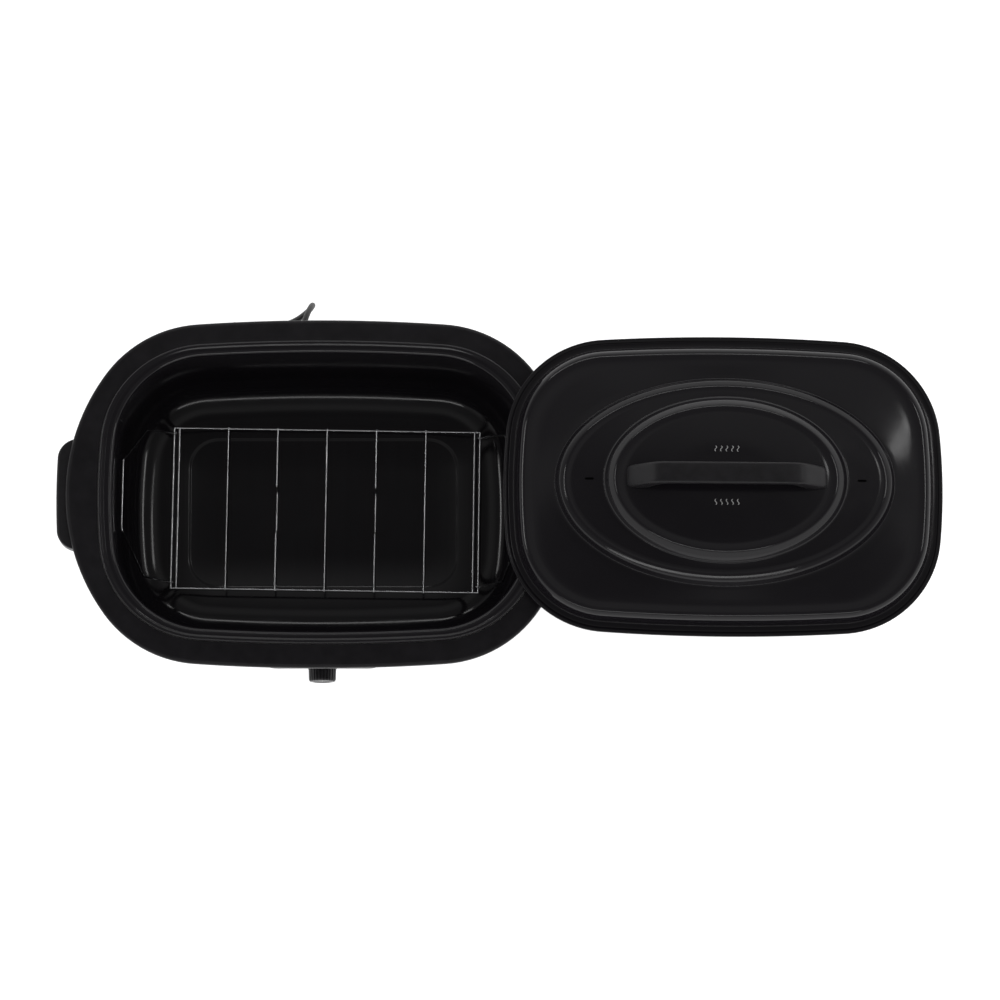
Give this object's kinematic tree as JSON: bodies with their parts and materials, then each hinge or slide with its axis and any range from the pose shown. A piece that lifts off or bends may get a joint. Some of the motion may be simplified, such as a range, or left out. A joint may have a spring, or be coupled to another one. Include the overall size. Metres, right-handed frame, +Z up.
{
  "type": "electric roaster oven",
  "caption": "Deep black electric roaster with a removable pan, a wire rack with bail handles, side handles, a front knob, and an embossed lid set aside to its right.",
  "frame": {"origin": "on the resting plane, under the middle of the whole outline, body and lid together", "axes": "+X right along the body towards the lid, +Y to the back where the cord leaves, +Z up"},
  "size_m": [1.0326, 0.466, 0.323],
  "materials": {
    "body_paint": "satin black baked paint on steel",
    "galvanised": "dull galvanised steel",
    "well_steel": "aluminised steel, dull",
    "heater_strip": "heat-tinted steel strip",
    "blanket": "loose glass fibre felt",
    "screw_steel": "zinc plated",
    "black_plastic": "moulded heat-resisting plastic, fine matt",
    "knob_plastic": "moulded plastic, satin gloss",
    "foot_rubber": "matt rubber",
    "lens_red": "clear red plastic",
    "lamp_glass": "small neon lamp",
    "ceramic_block": "cream moulded insulator",
    "wire_cover": "silicone wire covering",
    "enamel": "gloss black porcelain enamel on steel",
    "chrome_wire": "bright chrome plated wire",
    "cord_black": "matt black vinyl",
    "tie_black": "woven strap",
    "brass_blade": "bright brass"
  },
  "bodies": {
    "housing": {"outer_shell": "body_paint", "top_rim": "body_paint", "heating_well": "well_steel", "band_heater": "heater_strip", "heater_clips": "galvanised", "insulation_blanket": "blanket", "base_plate": "galvanised", "base_screws": "screw_steel", "spacer_posts": "galvanised", "feet": "foot_rubber", "foot_screws": "screw_steel", "side_handle_left": "black_plastic", "side_handle_right": "black_plastic", "side_handle_screws": "screw_steel", "control_panel": "black_plastic", "panel_screws": "screw_steel", "indicator_lens": "lens_red", "indicator_lamp": "lamp_glass", "thermostat_body": "ceramic_block", "thermostat_bracket": "galvanised", "terminal_block": "ceramic_block", "supply_wires": "wire_cover", "heater_leads": "wire_cover", "strain_relief": "cord_black", "power_cord": "cord_black", "cord_hank": "cord_black", "cord_tie": "tie_black", "cord_tail": "cord_black", "plug_body": "cord_black", "plug_blades": "brass_blade"},
    "pan": {"roasting_pan": "enamel"},
    "rack": {"rack_frame": "chrome_wire", "rack_cross_wires": "chrome_wire"},
    "bail_left": {"rack_handle_left": "chrome_wire"},
    "bail_right": {"rack_handle_right": "chrome_wire"},
    "lid": {"lid_shell": "enamel", "lid_handle": "black_plastic", "lid_washers": "screw_steel", "lid_handle_screws": "screw_steel"},
    "knob": {"control_knob": "knob_plastic", "thermostat_shaft": "screw_steel"}
  },
  "joints": [
    {"name": "pan_lift", "type": "slide", "parent": "housing", "child": "pan", "axis": [0, 0, 1], "range_m": [0, 0.26]},
    {"name": "rack_lift", "type": "slide", "parent": "pan", "child": "rack", "axis": [0, 0, 1], "range_m": [0, 0.26]},
    {"name": "lid_slide", "type": "slide", "parent": "rack", "child": "lid", "axis": [0.9999, 0.0107, 0], "range_m": [-0.46803, 0.12]},
    {"name": "bail_left_fold", "type": "hinge", "parent": "rack", "child": "bail_left", "pos_m": [-0.38743, 0.00288, 0.072], "axis": [0.0157, 0.9999, 0], "range_deg": [0, 102]},
    {"name": "bail_right_fold", "type": "hinge", "parent": "rack", "child": "bail_right", "pos_m": [-0.02047, -0.00288, 0.072], "axis": [-0.0157, -0.9999, 0], "range_deg": [0, 99]},
    {"name": "knob_turn", "type": "hinge", "parent": "housing", "child": "knob", "pos_m": [-0.20725, -0.2, 0.075], "axis": [0, -1, 0], "range_deg": [0, 290]}
  ]
}
